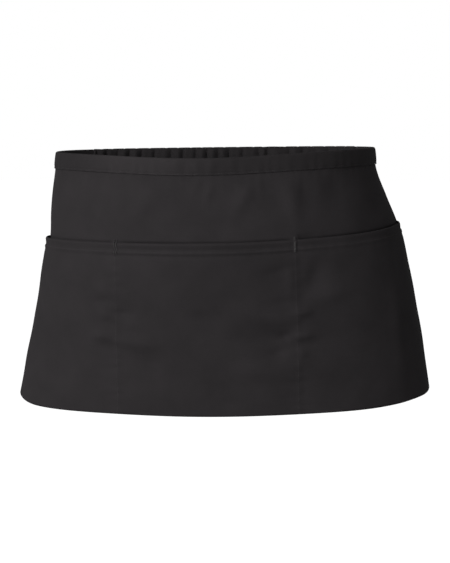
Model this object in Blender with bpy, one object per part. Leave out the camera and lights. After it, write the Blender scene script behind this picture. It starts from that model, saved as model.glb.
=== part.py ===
"""A waist apron with three pockets, in the form it has when worn.

Metres, +Z up, the front faces -Y and +X is to its right as seen from the front. The origin is the
centre of the waist, level with the middle of the waistband. The cloth is drawn in its own flat
coordinates, across from the front centre and down from the waistband's top, and each piece is
then laid on the worn form.
"""

import math
from collections import namedtuple
from functools import lru_cache

import bmesh
import bpy
import numpy as np

# Flat sizes of the apron
PANEL_WIDTH = 0.610
APRON_DEPTH = 0.290
BAND_DEPTH = 0.019
BAND_OVERRUN = 0.020
POCKET_DROP = 0.0975
POCKET_HEM = 0.012
BOTTOM_HEM = 0.012
SIDE_HEM = 0.010
HEM_STEP = 0.001
SIDE_DROP = 0.003
CORNER_RISE = 0.007
CORNER_WIDTH = 0.090
MOUTH_SLANT = 0.003
MOUTH_LIFT = 0.0018
LIFT_PLACE = -0.018
LIFT_WIDTH = 0.092

# Thicknesses and the gap that sewn layers keep
CLOTH = 0.0011
BAND_LEAF = 0.0010
HEM_FOLD = 0.0008
CLEARANCE = 0.0003

# Gathered band round the back
BACK_BAND_CORE = 0.0018
GATHER_PITCH = 0.014
GATHER_RISE = 0.0020
GATHER_EASE = 0.020

# Bar tacks at the tops of the pocket dividers
TACK_WIDTH = 0.0022
TACK_LENGTH = 0.0165
TACK_ABOVE = 0.0032
TACK_THICKNESS = 0.0009

# Worn form at the waist
WAIST_REACH = 0.1775
WAIST_FRONT = 0.125
WAIST_BACK = 0.108
FRONT_DIP = 0.0075
FRONT_DIP_WIDTH = 0.120
WAIST_ROLL = 0.014

# Spacing of the lines that the solids are drawn with
ACROSS_PITCH = 0.0125
DOWN_PITCH = 0.0160
GATHER_LINES = 6
FOLD_STEPS = 4
FORM_LINES = 117
OUTLINE_LINES = 241
NUDGE = 0.0005
STEEPEST_RUN = 0.94
SHARP_EDGE = 50.0

# A section of the worn form: its place as a share of the apron's depth, its left and right reach
# and its sway as shares of the waist's reach, and its front as a share of the waist's front.
# Its two roundnesses are 2 for an ellipse and more for a squarer side.
Section = namedtuple("Section", "down left right front left_round right_round sway")
SECTIONS = (
    Section(0.00, 1.010, 1.022, 0.995, 2.50, 2.50, 0.003),
    Section(0.07, 1.027, 1.030, 0.990, 2.45, 2.45, 0.007),
    Section(0.20, 1.070, 1.085, 1.055, 2.30, 2.30, 0.021),
    Section(0.34, 1.100, 1.150, 1.120, 2.15, 2.15, 0.037),
    Section(0.50, 1.149, 1.207, 1.095, 2.16, 2.20, 0.040),
    Section(0.70, 1.210, 1.265, 1.040, 2.20, 2.30, 0.045),
    Section(0.85, 1.267, 1.300, 1.005, 2.22, 2.40, 0.049),
    Section(1.00, 1.312, 1.333, 0.975, 2.24, 2.45, 0.052),
)

# A soft fold: its centre as shares of the panel's width and the apron's depth, its half length and
# half width as shares of the apron's depth, its turn in degrees from level, and its rise as a
# share of the cloth's thickness.
Fold = namedtuple("Fold", "across down long wide turn rise")
PANEL_FOLDS = (
    Fold(0.080, 0.147, 0.100, 0.031, 61.0, 2.7),
    Fold(0.163, 0.163, 0.105, 0.034, -80.0, 3.6),
    Fold(0.246, 0.140, 0.115, 0.050, 88.0, -2.1),
    Fold(-0.112, 0.205, 0.110, 0.036, 55.0, 2.0),
    Fold(0.367, 0.740, 0.260, 0.038, 91.0, 1.6),
    Fold(0.390, 0.450, 0.120, 0.045, 80.0, -1.2),
    Fold(-0.155, 0.605, 0.040, 0.024, -6.0, -2.2),
    Fold(-0.004, 0.612, 0.060, 0.030, -8.0, -1.6),
    Fold(-0.133, 0.720, 0.100, 0.028, -3.0, 1.9),
    Fold(0.120, 0.620, 0.120, 0.038, -18.0, 3.7),
    Fold(0.115, 0.704, 0.125, 0.040, -4.0, -2.4),
    Fold(0.112, 0.826, 0.140, 0.044, 0.0, 2.4),
    Fold(0.199, 0.484, 0.085, 0.034, 62.0, -2.6),
    Fold(0.220, 0.552, 0.085, 0.030, 6.0, 2.2),
)

# How far each pocket's mouth stands off the panel, from left to right, in cloth thicknesses, and
# how fast it closes downwards, as a power of the height that is left above the pocket's bottom
POCKET_GAPES = (3.8, 7.4, 4.6)
GAPE_CLOSING = 1.3

TWILL = ("twill", (0.026, 0.024, 0.025, 1.0), 0.85)
BINDING = ("binding", (0.027, 0.025, 0.026, 1.0), 0.85)
THREAD = ("thread", (0.060, 0.056, 0.056, 1.0), 0.60)

BAND_TURN = CLOTH / 2 + CLEARANCE + BAND_LEAF
BOTTOM_TURN = CLOTH / 2 + CLEARANCE + CLOTH
HALF_WIDTH = PANEL_WIDTH / 2
POCKET_WIDTH = PANEL_WIDTH / len(POCKET_GAPES)
DIVIDERS = [k * POCKET_WIDTH - HALF_WIDTH for k in range(1, len(POCKET_GAPES))]


def clear_scene():
    for old in list(bpy.data.objects):
        bpy.data.objects.remove(old, do_unlink=True)


@lru_cache(maxsize=None)
def section_at(share):
    """The form's section at a share of the apron's depth, on a smooth curve through the table."""
    rows = np.array([row.down for row in SECTIONS])
    here = int(np.clip(np.searchsorted(rows, share, side="right") - 1, 0, len(rows) - 2))
    gap = rows[here + 1] - rows[here]
    t = (share - rows[here]) / gap
    blend = (2 * t**3 - 3 * t**2 + 1, t**3 - 2 * t**2 + t, 3 * t**2 - 2 * t**3, t**3 - t**2)
    values = {"down": share}
    for column in Section._fields[1:]:
        sizes = np.array([getattr(row, column) for row in SECTIONS])
        slopes = np.gradient(sizes, rows)
        start = sizes[here] * blend[0] + slopes[here] * gap * blend[1]
        values[column] = start + sizes[here + 1] * blend[2] + slopes[here + 1] * gap * blend[3]
    return Section(**values)


@lru_cache(maxsize=None)
def half_outline(section, side):
    """Points of a section's right or left half, front centre to back centre, and their lengths."""
    turn = np.linspace(0, math.pi, OUTLINE_LINES)
    reach = WAIST_REACH * (section.right if side > 0 else section.left)
    depth = np.where(turn < math.pi / 2, WAIST_FRONT * section.front, WAIST_BACK)
    power = section.right_round if side > 0 else section.left_round
    radius = (np.abs(np.sin(turn) / reach) ** power + np.abs(np.cos(turn) / depth) ** power) ** (-1 / power)
    x = side * radius * np.sin(turn)
    y = -radius * np.cos(turn)
    length = np.concatenate([[0.0], np.cumsum(np.hypot(np.diff(x), np.diff(y)))])
    return x + WAIST_REACH * section.sway, y, length


def outline_at(across, section):
    """Points round a section at lengths from its front centre, with left ones negative.

    Past the waistband's ends the elastic takes up the difference to the waist's length.
    """
    points = np.zeros((len(across), 2))
    firm = HALF_WIDTH + BAND_OVERRUN
    for side in (-1, 1):
        x, y, length = half_outline(section, side)
        waist_length = half_outline(SECTIONS[0], side)[2][-1]
        mine = (across < 0) if side < 0 else (across >= 0)
        laid = np.abs(across[mine])
        stretch = (length[-1] - firm) / (waist_length - firm)
        laid = np.where(laid > firm, firm + (laid - firm) * stretch, laid)
        points[mine, 0] = np.interp(laid, length, x)
        points[mine, 1] = np.interp(laid, length, y)
    return points


def edge_drop(across, share):
    """How much lower the sides hang at each share of the depth, less at the left bottom corner."""
    out = np.minimum(np.abs(across) / HALF_WIDTH, 1.0)
    corner = np.clip((CORNER_WIDTH - HALF_WIDTH - across) / CORNER_WIDTH, 0, 1)
    rise = CORNER_RISE * corner**2 * (3 - 2 * corner)
    return np.outer(share, SIDE_DROP * out**2) - np.outer(share**3, rise)


def threads(across):
    """The form's points down each upright thread, whose length stays that of the flat cloth."""
    down = np.linspace(0, APRON_DEPTH, FORM_LINES)
    flat = np.array([outline_at(across, section_at(d / APRON_DEPTH)) for d in down])
    step = down[1] - down[0]
    run = np.linalg.norm(np.diff(flat, axis=0), axis=2)
    fall = np.sqrt(step**2 - np.minimum(run, STEEPEST_RUN * step) ** 2)
    fall = np.concatenate([np.zeros((1, len(across))), np.cumsum(fall, axis=0)])
    fall += edge_drop(across, down / APRON_DEPTH)
    top = BAND_DEPTH / 2 - FRONT_DIP * np.exp(-((across / FRONT_DIP_WIDTH) ** 2))
    height = top + WAIST_ROLL * flat[0, :, 0] - fall
    return down, np.concatenate([flat, height[..., None]], axis=2)


def read_threads(down, points, at):
    """Points on the threads at each row and column of a table of depths."""
    found = np.zeros(at.shape + (3,))
    for column in range(at.shape[1]):
        for axis in range(3):
            found[:, column, axis] = np.interp(at[:, column], down, points[:, column, axis])
    return found


def form_at(across, down):
    """Places and outward directions of the worn form, for lines across and a table of depths."""
    inside = np.clip(down, 0, APRON_DEPTH)
    lower, upper = np.clip(inside + NUDGE, 0, APRON_DEPTH), np.clip(inside - NUDGE, 0, APRON_DEPTH)
    fine, middle = threads(across)
    places = read_threads(fine, middle, inside)
    downward = read_threads(fine, middle, lower) - read_threads(fine, middle, upper)
    rightward = read_threads(*threads(across + NUDGE), inside) - read_threads(*threads(across - NUDGE), inside)
    outward = np.cross(downward, rightward)
    outward /= np.linalg.norm(outward, axis=2, keepdims=True)
    return places, outward


def spaced(stops, pitch):
    """Lines that meet every stop, spread evenly between stops at about the pitch."""
    lines = [stops[0]]
    for start, end in zip(stops, stops[1:]):
        count = max(1, round((end - start) / pitch))
        lines.extend(start + (end - start) * k / count for k in range(1, count + 1))
    return np.array(lines)


def slanted(rows, across):
    """Depths of level rows that lean and lift with the pocket mouth, but not at waist and hem."""
    weight = np.interp(rows, (BAND_DEPTH, POCKET_DROP, APRON_DEPTH - BOTTOM_HEM), (0.0, 1.0, 0.0))
    lift = MOUTH_LIFT * np.exp(-(((across - LIFT_PLACE) / LIFT_WIDTH) ** 2))
    return rows[:, None] - weight[:, None] * (MOUTH_SLANT * across / HALF_WIDTH + lift)[None, :]


def panel_relief(across, down):
    """How far the folds raise the cloth at each point. They fade out under the waistband."""
    total = np.zeros(down.shape)
    for fold in PANEL_FOLDS:
        turn = math.radians(fold.turn)
        x = (across[None, :] - fold.across * PANEL_WIDTH) / APRON_DEPTH
        y = (fold.down * APRON_DEPTH - down) / APRON_DEPTH
        along = x * math.cos(turn) + y * math.sin(turn)
        beside = y * math.cos(turn) - x * math.sin(turn)
        total += fold.rise * CLOTH * np.exp(-((along / fold.long) ** 2) - (beside / fold.wide) ** 2)
    return total * np.clip((down - BAND_DEPTH) / BAND_DEPTH, 0, 1)


def pocket_gape(across, down):
    """Room between the panel and the pocket cloth, nothing along the seams and the bottom."""
    place = np.clip((across + HALF_WIDTH) / POCKET_WIDTH, 0, len(POCKET_GAPES))
    which = np.minimum(place.astype(int), len(POCKET_GAPES) - 1)
    bulge = np.sin(math.pi * (place - which)) ** 2
    open_width = np.array(POCKET_GAPES)[which] * CLOTH
    depth = (down - POCKET_DROP) / (APRON_DEPTH - BOTTOM_HEM - POCKET_DROP)
    closing = (1 - np.clip(depth, 0, 1)) ** GAPE_CLOSING
    return open_width * bulge * closing


def layer(across, down, out):
    """Points that stand out from the worn form and its folds by a table of distances."""
    places, outward = form_at(across, down)
    return places + outward * (out + panel_relief(across, down))[..., None]


def cloth_material(finish):
    name, colour, roughness = finish
    material = bpy.data.materials.get(name) or bpy.data.materials.new(name)
    material.use_nodes = True
    shader = material.node_tree.nodes["Principled BSDF"]
    shader.inputs["Base Color"].default_value = colour
    shader.inputs["Roughness"].default_value = roughness
    shader.inputs["Metallic"].default_value = 0.0
    return material


def woven_face(form, points, down):
    """Triangles over a table of points. Their diagonals run the same way down on every layer."""
    table = [[form.verts.new(place) for place in row] for row in points]
    falling = down[1:, 0] > down[:-1, 0]
    for row, (upper, lower) in enumerate(zip(table, table[1:])):
        for column in range(len(upper) - 1):
            corners = (upper[column], lower[column], lower[column + 1], upper[column + 1])
            first = 0 if falling[row] else 1
            turned = corners[first:] + corners[:first]
            form.faces.new((turned[0], turned[1], turned[2]))
            form.faces.new((turned[0], turned[2], turned[3]))
    right = [row[-1] for row in table]
    left = [row[0] for row in table]
    return table[0] + right[1:-1] + table[-1][::-1] + left[-2:0:-1]


def sewn_piece(name, outer, inner, down, finish):
    """A closed solid between two tables of points, its outer and its inner face."""
    form = bmesh.new()
    outer_rim = woven_face(form, outer, down)
    inner_start = len(form.faces)
    inner_rim = woven_face(form, inner, down)
    form.faces.ensure_lookup_table()
    bmesh.ops.reverse_faces(form, faces=form.faces[inner_start:])
    for k, corner in enumerate(outer_rim):
        form.faces.new((outer_rim[k - 1], corner, inner_rim[k], inner_rim[k - 1]))
    if form.calc_volume(signed=True) < 0:
        bmesh.ops.reverse_faces(form, faces=form.faces[:])
    mesh = bpy.data.meshes.new(name)
    form.to_mesh(mesh)
    form.free()
    mesh.shade_smooth()
    mesh.set_sharp_from_angle(angle=math.radians(SHARP_EDGE))
    mesh.materials.append(cloth_material(finish))
    piece = bpy.data.objects.new(name, mesh)
    bpy.context.scene.collection.objects.link(piece)
    return piece


def panel_lines():
    """Lines across the panel, with those of its side hems and of the pocket dividers."""
    hem = HALF_WIDTH - SIDE_HEM
    right = [hem - HEM_STEP, hem, HALF_WIDTH]
    return spaced([-x for x in reversed(right)] + DIVIDERS + right, ACROSS_PITCH)


def rows_between(start, end):
    """Rows from one depth to another, with those of the hems and the pocket mouth between."""
    hem = POCKET_DROP + POCKET_HEM
    stops = [BAND_TURN, BAND_DEPTH, POCKET_DROP, hem, hem + HEM_STEP]
    stops += [APRON_DEPTH - BOTTOM_HEM, APRON_DEPTH - BOTTOM_TURN]
    return spaced([stop for stop in stops if start - NUDGE <= stop <= end + NUDGE], DOWN_PITCH)


def skirt_panel():
    """The whole front cloth, turned in along its side edges."""
    across = panel_lines()
    rows = rows_between(BAND_TURN, APRON_DEPTH - BOTTOM_TURN)
    down = slanted(rows, across)
    turned = np.abs(across) > HALF_WIDTH - SIDE_HEM - NUDGE
    below_band = (rows > BAND_DEPTH + NUDGE) & (rows < APRON_DEPTH - BOTTOM_HEM - NUDGE)
    extra = HEM_FOLD * np.outer(below_band, turned)
    outer = layer(across, down, np.full(down.shape, CLOTH / 2))
    inner = layer(across, down, -CLOTH / 2 - extra)
    return sewn_piece("skirt_panel", outer, inner, down, TWILL)


def turned_edge(radius):
    """Depth and stand-off of a fold round an edge, from the front round to the back."""
    angles = [math.pi * k / FOLD_STEPS for k in range(1, FOLD_STEPS)]
    return [(radius * math.sin(angle), radius * math.cos(angle)) for angle in angles]


def pocket_panel():
    """One cloth for the three pockets, folded over at the mouth and round the skirt's lower edge."""
    across = panel_lines()
    rows = rows_between(POCKET_DROP, APRON_DEPTH - BOTTOM_TURN)
    edge = APRON_DEPTH - BOTTOM_TURN
    seat = CLOTH / 2 + CLEARANCE
    front = slanted(rows, across)
    gape = pocket_gape(across, front)
    mouth_hem = HEM_FOLD * (rows < POCKET_DROP + POCKET_HEM + NUDGE)[:, None]
    near = [seat + gape]
    far = [seat + gape + CLOTH + mouth_hem]
    near_down = [front]
    far_down = [front]
    around = np.ones((1, len(across)))
    for near_fold, far_fold in zip(turned_edge(seat), turned_edge(BOTTOM_TURN)):
        near_down.append((edge + near_fold[0]) * around)
        far_down.append((edge + far_fold[0]) * around)
        near.append(near_fold[1] * around)
        far.append(far_fold[1] * around)
    for height in (edge, APRON_DEPTH - BOTTOM_HEM):
        near_down.append(height * around)
        far_down.append(height * around)
        near.append(-seat * around)
        far.append(-BOTTOM_TURN * around)
    down = np.concatenate(far_down)
    outer = layer(across, down, np.concatenate(far))
    inner = layer(across, np.concatenate(near_down), np.concatenate(near))
    return sewn_piece("pocket_panel", outer, inner, down, TWILL)


def overrun_lines():
    """Lines past the panel's side, where the waistband's ends hold the back band."""
    return spaced([HALF_WIDTH, HALF_WIDTH + BAND_OVERRUN], ACROSS_PITCH)[1:]


def band_lines():
    """The panel's lines, carried on past its sides to the ends of the waistband."""
    ends = overrun_lines()
    return np.concatenate([-ends[::-1], panel_lines(), ends])


def waistband():
    """A binding folded over the panel's top edge, open at both ends for the back band."""
    across = band_lines()
    around = np.ones((1, len(across)))
    seat = CLOTH / 2 + CLEARANCE
    leaf = rows_between(BAND_TURN, BAND_DEPTH)[:, None] * around
    near_down, near = [leaf[::-1]], [np.full(leaf.shape, seat)]
    far_down, far = [leaf[::-1]], [np.full(leaf.shape, BAND_TURN)]
    for near_fold, far_fold in zip(turned_edge(seat), turned_edge(BAND_TURN)):
        near_down.append((BAND_TURN - near_fold[0]) * around)
        far_down.append((BAND_TURN - far_fold[0]) * around)
        near.append(near_fold[1] * around)
        far.append(far_fold[1] * around)
    near_down.append(leaf)
    far_down.append(leaf)
    near.append(np.full(leaf.shape, -seat))
    far.append(np.full(leaf.shape, -BAND_TURN))
    down = np.concatenate(far_down)
    outer = layer(across, down, np.concatenate(far))
    inner = layer(across, np.concatenate(near_down), np.concatenate(near))
    return sewn_piece("waistband", outer, inner, down, BINDING)


def back_lines():
    """Lines round the back from the panel's right side to its left one, and the gathers' phase."""
    waist = section_at(0.0)
    right_half = half_outline(waist, 1)[2][-1]
    left_half = half_outline(waist, -1)[2][-1]
    tongue = np.concatenate([[HALF_WIDTH + CLEARANCE], overrun_lines()])
    gathered = right_half + left_half - 2 * tongue[-1]
    count = round(gathered / GATHER_PITCH) * GATHER_LINES
    gathers = tongue[-1] + gathered * np.arange(1, count) / count
    gathers = np.where(gathers <= right_half, gathers, gathers - right_half - left_half)
    across = np.concatenate([tongue, gathers, -tongue[::-1]])
    from_right = np.where(across > 0, across - tongue[-1], across + tongue[-1] + gathered)
    return across, from_right, gathered


def back_band():
    """An elastic band in a gathered casing, whose flat ends sit inside the waistband."""
    across, run, gathered = back_lines()
    ease = np.clip(np.minimum(run, gathered - run) / GATHER_EASE, 0, 1)
    wave = np.cos(2 * math.pi * run / GATHER_PITCH)
    middle = GATHER_RISE * ease * wave
    half = CLOTH / 2 + (BACK_BAND_CORE - CLOTH) / 2 * ease
    top = BAND_TURN * (1 - ease)
    bottom = BAND_DEPTH - CLEARANCE * (1 - ease)
    down = np.array([top, (top + bottom) / 2, bottom])
    places, outward = form_at(across, down)
    outer = places + outward * (middle + half)[None, :, None]
    inner = places + outward * (middle - half)[None, :, None]
    return sewn_piece("back_band", outer, inner, down, BINDING)


def bar_tack(name, across_middle):
    """A dense bar of stitches that steps from the panel up onto the pocket's mouth hem."""
    across = across_middle + np.array([-TACK_WIDTH / 2, TACK_WIDTH / 2])
    panel_face = CLOTH / 2 + CLEARANCE
    hem_face = CLOTH / 2 + CLEARANCE + CLOTH + HEM_FOLD + CLEARANCE
    start = POCKET_DROP - TACK_ABOVE
    end = start + TACK_LENGTH
    step = POCKET_DROP - CLEARANCE
    inner_rows = ((start, panel_face), (step, panel_face), (step, hem_face), (end, hem_face))
    step -= TACK_THICKNESS
    outer_rows = ((start, panel_face), (step, panel_face), (step, hem_face), (end, hem_face))
    tables = []
    for rows, thick in ((outer_rows, TACK_THICKNESS), (inner_rows, 0.0)):
        down = slanted(np.array([row[0] for row in rows]), across)
        out = np.repeat([[row[1] + thick] for row in rows], len(across), axis=1)
        tables.append(layer(across, down, out))
    return sewn_piece(name, tables[0], tables[1], down, THREAD)


def build():
    clear_scene()
    skirt_panel()
    pocket_panel()
    waistband()
    back_band()
    for place in DIVIDERS:
        bar_tack("bar_tack_left" if place < 0 else "bar_tack_right", place)


build()
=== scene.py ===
"""The looks of a worn waist apron with three pockets: its cloth, folds, seams, stitches and light.

Lengths are in metres. The cloth is drawn flat, across from the front centre and down from the
waistband's top, and each piece is then laid on the worn form, which the solids follow too.
"""

import math
from collections import namedtuple
from functools import lru_cache

import bpy
import numpy as np
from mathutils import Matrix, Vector


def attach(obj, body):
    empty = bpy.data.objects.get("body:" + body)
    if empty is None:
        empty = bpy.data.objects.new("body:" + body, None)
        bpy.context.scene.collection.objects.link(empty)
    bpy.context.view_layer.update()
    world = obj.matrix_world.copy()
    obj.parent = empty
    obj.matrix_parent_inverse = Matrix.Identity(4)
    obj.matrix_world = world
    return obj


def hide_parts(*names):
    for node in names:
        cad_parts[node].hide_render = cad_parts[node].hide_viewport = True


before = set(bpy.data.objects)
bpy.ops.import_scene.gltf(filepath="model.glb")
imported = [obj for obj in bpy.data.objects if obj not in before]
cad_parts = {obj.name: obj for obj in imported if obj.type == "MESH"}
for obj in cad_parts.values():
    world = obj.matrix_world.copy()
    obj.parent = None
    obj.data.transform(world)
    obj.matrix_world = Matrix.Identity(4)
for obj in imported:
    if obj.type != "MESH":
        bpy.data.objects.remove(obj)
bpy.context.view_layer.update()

# Flat sizes of the apron, as its solids have them
PANEL_WIDTH = 0.610
APRON_DEPTH = 0.290
BAND_DEPTH = 0.019
BAND_OVERRUN = 0.020
POCKET_DROP = 0.0975
POCKET_HEM = 0.012
BOTTOM_HEM = 0.012
SIDE_HEM = 0.010
SIDE_DROP = 0.003
CORNER_RISE = 0.007
CORNER_WIDTH = 0.090
MOUTH_SLANT = 0.003
MOUTH_LIFT = 0.0018
LIFT_PLACE = -0.018
LIFT_WIDTH = 0.092
WALL = 0.0011
CLEARANCE = 0.0003
BAND_LEAF = 0.0010
TACK_LENGTH = 0.0165
TACK_ABOVE = 0.0034

# Worn form at the waist
WAIST_REACH = 0.1775
WAIST_FRONT = 0.125
WAIST_BACK = 0.108
FRONT_DIP = 0.0075
FRONT_DIP_WIDTH = 0.120
WAIST_ROLL = 0.014

# Sections of the worn form: places as shares of the depth, sizes as shares of the waist's
Section = namedtuple("Section", "down left right front left_round right_round sway")
SECTIONS = (
    Section(0.00, 1.010, 1.022, 0.995, 2.50, 2.50, 0.003),
    Section(0.07, 1.027, 1.030, 0.990, 2.45, 2.45, 0.007),
    Section(0.20, 1.070, 1.085, 1.055, 2.30, 2.30, 0.021),
    Section(0.34, 1.100, 1.150, 1.120, 2.15, 2.15, 0.037),
    Section(0.50, 1.149, 1.207, 1.095, 2.16, 2.20, 0.040),
    Section(0.70, 1.210, 1.265, 1.040, 2.20, 2.30, 0.045),
    Section(0.85, 1.267, 1.300, 1.005, 2.22, 2.40, 0.049),
    Section(1.00, 1.312, 1.333, 0.975, 2.24, 2.45, 0.052),
)

# Soft folds, as the solids have them: centres as shares of the panel's width and the apron's depth,
# half lengths and half widths as shares of the depth, turns in degrees from level, and rises as
# shares of the solids' wall
Fold = namedtuple("Fold", "across down long wide turn rise")
PANEL_FOLDS = (
    Fold(0.080, 0.147, 0.100, 0.031, 61.0, 2.7),
    Fold(0.163, 0.163, 0.105, 0.034, -80.0, 3.6),
    Fold(0.246, 0.140, 0.115, 0.050, 88.0, -2.1),
    Fold(-0.112, 0.205, 0.110, 0.036, 55.0, 2.0),
    Fold(0.367, 0.740, 0.260, 0.038, 91.0, 1.6),
    Fold(0.390, 0.450, 0.120, 0.045, 80.0, -1.2),
    Fold(-0.155, 0.605, 0.040, 0.024, -6.0, -2.2),
    Fold(-0.004, 0.612, 0.060, 0.030, -8.0, -1.6),
    Fold(-0.133, 0.720, 0.100, 0.028, -3.0, 1.9),
    Fold(0.120, 0.620, 0.120, 0.038, -18.0, 3.7),
    Fold(0.115, 0.704, 0.125, 0.040, -4.0, -2.4),
    Fold(0.112, 0.826, 0.140, 0.044, 0.0, 2.4),
    Fold(0.199, 0.484, 0.085, 0.034, 62.0, -2.6),
    Fold(0.220, 0.552, 0.085, 0.030, 6.0, 2.2),
)

# Small puckers, most of them beside the dividers' seams
PUCKERS = (
    Fold(-0.190, 0.517, 0.040, 0.022, 0.0, 0.9),
    Fold(-0.193, 0.564, 0.045, 0.017, 0.0, -1.4),
    Fold(-0.187, 0.612, 0.030, 0.014, 0.0, 0.7),
    Fold(-0.186, 0.645, 0.034, 0.014, 0.0, -0.7),
    Fold(-0.192, 0.698, 0.046, 0.017, -3.0, 2.6),
    Fold(-0.196, 0.742, 0.040, 0.018, 0.0, -0.8),
    Fold(-0.130, 0.645, 0.060, 0.030, 0.0, 1.2),
    Fold(0.175, 0.608, 0.040, 0.019, 5.0, 3.3),
    Fold(0.176, 0.695, 0.045, 0.021, 0.0, 3.6),
    Fold(0.176, 0.765, 0.016, 0.022, 0.0, 1.4),
    Fold(0.157, 0.480, 0.070, 0.019, 88.0, 1.2),
    Fold(0.135, 0.445, 0.050, 0.018, 10.0, -1.2),
    Fold(0.143, 0.562, 0.050, 0.016, 4.0, -0.7),
    Fold(0.144, 0.695, 0.024, 0.016, 0.0, -1.7),
    Fold(0.132, 0.758, 0.038, 0.019, 5.0, -1.9),
    Fold(0.212, 0.515, 0.060, 0.030, 62.0, -1.1),
    Fold(-0.007, 0.100, 0.040, 0.017, 66.0, 1.5),
    Fold(0.015, 0.135, 0.040, 0.017, 70.0, 1.4),
    Fold(0.108, 0.100, 0.050, 0.014, 90.0, 1.1),
    Fold(0.176, 0.110, 0.050, 0.018, 90.0, 1.1),
    Fold(0.044, 0.944, 0.050, 0.022, 0.0, -0.8),
)

# How far each pocket's mouth stands off the panel, from left to right, in walls, and how fast it
# closes downwards
POCKET_GAPES = (3.8, 5.0, 4.6)
GAPE_CLOSING = 1.3

# Real cloth and thread
CLOTH = 0.0008
BINDING = 0.0006
THREAD = 0.00032
STITCH = 0.0028
STITCH_GAP = 0.0005

# Spacing of the lines that the cloth is drawn with, and the steps round a turned edge
FINE = 0.0024
FORM_LINES = 117
OUTLINE_LINES = 241
EDGE_STEPS = 5

# How far beside a point its slopes are read, the largest share of its length that a thread runs
# level, what counts as no length and as one place, and the angle up to which faces look smooth
NUDGE = 0.0005
STEEPEST_RUN = 0.94
NEARLY = 1e-9
SAME_PLACE = 0.00001
SMOOTH_ANGLE = 60

# The photograph's camera, in its own pixels and in degrees
PHOTO_HEIGHT = 563
FOCAL_PIXELS = 2787.0
SENSOR_MM = 36.0
CAMERA_TURN = 7.6
CAMERA_RISE = 3.9
CAMERA_DISTANCE = 3.2
CAMERA_TARGET = Vector((0.0125, 0.0, -0.1424))

# What follows from these sizes
HALF_WIDTH = PANEL_WIDTH / 2
BAND_END = HALF_WIDTH + BAND_OVERRUN
POCKET_WIDTH = PANEL_WIDTH / len(POCKET_GAPES)
DIVIDERS = [k * POCKET_WIDTH - HALF_WIDTH for k in range(1, len(POCKET_GAPES))]
BAND_TURN = WALL / 2 + CLEARANCE + BAND_LEAF
BOTTOM_TURN = WALL / 2 + CLEARANCE + WALL
POCKET_SEAT = WALL / 2 + CLEARANCE + WALL / 2


# Worn form

def smooth_through(at, places, values):
    """A smooth curve through a short table of values."""
    slopes = np.gradient(values, places)
    here = np.clip(np.searchsorted(places, at, side="right") - 1, 0, len(places) - 2)
    gap = places[here + 1] - places[here]
    t = np.clip((at - places[here]) / gap, 0, 1)
    low = values[here] * (2 * t**3 - 3 * t**2 + 1) + slopes[here] * gap * (t**3 - 2 * t**2 + t)
    return low + values[here + 1] * (3 * t**2 - 2 * t**3) + slopes[here + 1] * gap * (t**3 - t**2)


@lru_cache(maxsize=None)
def section_at(share):
    """The form's section at a share of the apron's depth, on a smooth curve through the table."""
    places, *columns = np.array(SECTIONS).T
    return Section(share, *(smooth_through(share, places, column) for column in columns))


@lru_cache(maxsize=None)
def half_outline(section, side):
    """Points of a section's right or left half, front centre to back centre, and their lengths."""
    turn = np.linspace(0, math.pi, OUTLINE_LINES)
    reach = WAIST_REACH * (section.right if side > 0 else section.left)
    depth = np.where(turn < math.pi / 2, WAIST_FRONT * section.front, WAIST_BACK)
    power = section.right_round if side > 0 else section.left_round
    wide, deep = np.abs(np.sin(turn) / reach) ** power, np.abs(np.cos(turn) / depth) ** power
    radius = (wide + deep) ** (-1 / power)
    x = side * radius * np.sin(turn)
    y = -radius * np.cos(turn)
    length = np.concatenate([[0.0], np.cumsum(np.hypot(np.diff(x), np.diff(y)))])
    return x + WAIST_REACH * section.sway, y, length


def half_length(section, side):
    return half_outline(section, side)[2][-1]


def outline_at(across, section):
    """Points round a section at lengths from its front centre, with left ones negative.

    Past the waistband's ends the elastic takes up the difference to the waist's length.
    """
    points = np.zeros((len(across), 2))
    for side in (-1, 1):
        x, y, length = half_outline(section, side)
        mine = (across < 0) if side < 0 else (across >= 0)
        laid = np.abs(across[mine])
        stretch = (length[-1] - BAND_END) / (half_length(SECTIONS[0], side) - BAND_END)
        laid = np.where(laid > BAND_END, BAND_END + (laid - BAND_END) * stretch, laid)
        points[mine, 0] = np.interp(laid, length, x)
        points[mine, 1] = np.interp(laid, length, y)
    return points


def edge_drop(across, share):
    """How much lower the sides hang at each share of the depth, less at the left bottom corner."""
    out = np.minimum(np.abs(across) / HALF_WIDTH, 1.0)
    corner = np.clip((CORNER_WIDTH - HALF_WIDTH - across) / CORNER_WIDTH, 0, 1)
    rise = CORNER_RISE * corner**2 * (3 - 2 * corner)
    return np.outer(share, SIDE_DROP * out**2) - np.outer(share**3, rise)


def threads(across):
    """The form's points down each upright thread, whose length stays that of the flat cloth."""
    down = np.linspace(0, APRON_DEPTH, FORM_LINES)
    flat = np.array([outline_at(across, section_at(d / APRON_DEPTH)) for d in down])
    step = down[1] - down[0]
    run = np.linalg.norm(np.diff(flat, axis=0), axis=2)
    fall = np.sqrt(step**2 - np.minimum(run, STEEPEST_RUN * step) ** 2)
    fall = np.concatenate([np.zeros((1, len(across))), np.cumsum(fall, axis=0)])
    fall += edge_drop(across, down / APRON_DEPTH)
    top = BAND_DEPTH / 2 - FRONT_DIP * np.exp(-((across / FRONT_DIP_WIDTH) ** 2))
    height = top + WAIST_ROLL * flat[0, :, 0] - fall
    return down, np.concatenate([flat, height[..., None]], axis=2)


def read_threads(down, points, at):
    """Points on the threads at each row and column of a table of depths."""
    found = np.zeros(at.shape + (3,))
    for column in range(at.shape[1]):
        for axis in range(3):
            found[:, column, axis] = np.interp(at[:, column], down, points[:, column, axis])
    return found


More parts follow.
